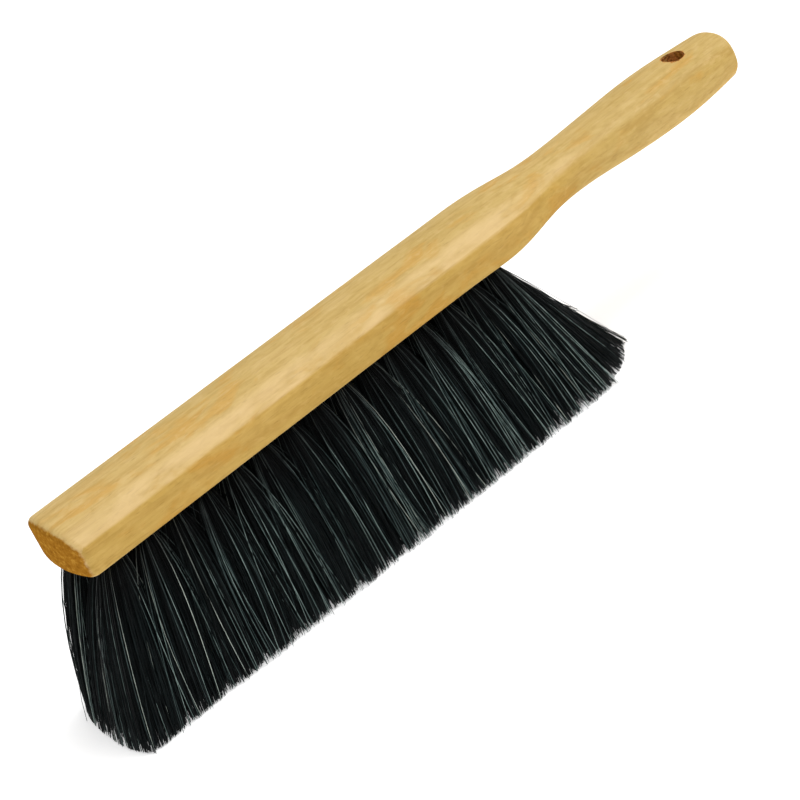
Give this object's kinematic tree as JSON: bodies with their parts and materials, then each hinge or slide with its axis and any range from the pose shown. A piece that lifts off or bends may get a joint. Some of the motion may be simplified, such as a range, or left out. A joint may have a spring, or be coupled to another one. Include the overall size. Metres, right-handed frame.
{
  "type": "bee brush",
  "caption": "Hand brush with a one-piece wooden block and handle, a hang hole, and long dark natural hair set in three staggered rows.",
  "frame": {"origin": "under the middle of the overall box, on the plane of the trimmed bristle tips", "axes": "+X along the handle, away from the bristles; +Y across the block towards the far row; +Z from the tips up to the back of the block"},
  "size_m": [0.358, 0.0556, 0.087],
  "materials": {
    "hardwood": "clear satin varnish over pale, straight-grained hardwood",
    "hair": "black horsehair with scattered grey and ivory hairs",
    "staple_wire": "drawn steel wire"
  },
  "bodies": {
    "block": {"block_and_handle": "hardwood", "roots_near": "hair", "staples_near": "staple_wire", "roots_middle": "hair", "staples_middle": "staple_wire", "roots_far": "hair", "staples_far": "staple_wire"},
    "row_near": {"tuft_near_01": "hair", "tuft_near_02": "hair", "tuft_near_03": "hair", "tuft_near_04": "hair", "tuft_near_05": "hair", "tuft_near_06": "hair", "tuft_near_07": "hair", "tuft_near_08": "hair", "tuft_near_09": "hair", "tuft_near_10": "hair", "tuft_near_11": "hair", "tuft_near_12": "hair", "tuft_near_13": "hair", "tuft_near_14": "hair", "tuft_near_15": "hair"},
    "row_middle": {"tuft_middle_01": "hair", "tuft_middle_02": "hair", "tuft_middle_03": "hair", "tuft_middle_04": "hair", "tuft_middle_05": "hair", "tuft_middle_06": "hair", "tuft_middle_07": "hair", "tuft_middle_08": "hair", "tuft_middle_09": "hair", "tuft_middle_10": "hair", "tuft_middle_11": "hair", "tuft_middle_12": "hair", "tuft_middle_13": "hair", "tuft_middle_14": "hair"},
    "row_far": {"tuft_far_01": "hair", "tuft_far_02": "hair", "tuft_far_03": "hair", "tuft_far_04": "hair", "tuft_far_05": "hair", "tuft_far_06": "hair", "tuft_far_07": "hair", "tuft_far_08": "hair", "tuft_far_09": "hair", "tuft_far_10": "hair", "tuft_far_11": "hair", "tuft_far_12": "hair", "tuft_far_13": "hair", "tuft_far_14": "hair", "tuft_far_15": "hair"}
  },
  "joints": [
    {"name": "near_row_flex", "type": "hinge", "parent": "block", "child": "row_near", "pos_m": [0, -0.0115, 0.068], "axis": [1, 0, 0], "range_deg": [-15, 15], "stiffness_Nm_per_rad": 0.1},
    {"name": "middle_row_flex", "type": "hinge", "parent": "block", "child": "row_middle", "pos_m": [0, 0, 0.068], "axis": [1, 0, 0], "range_deg": [-15, 15], "stiffness_Nm_per_rad": 0.1},
    {"name": "far_row_flex", "type": "hinge", "parent": "block", "child": "row_far", "pos_m": [0, 0.0115, 0.068], "axis": [1, 0, 0], "range_deg": [-15, 15], "stiffness_Nm_per_rad": 0.1}
  ],
  "couplings": [
    {"joint": "middle_row_flex", "follows": "near_row_flex", "ratio": 1},
    {"joint": "far_row_flex", "follows": "near_row_flex", "ratio": 1}
  ]
}
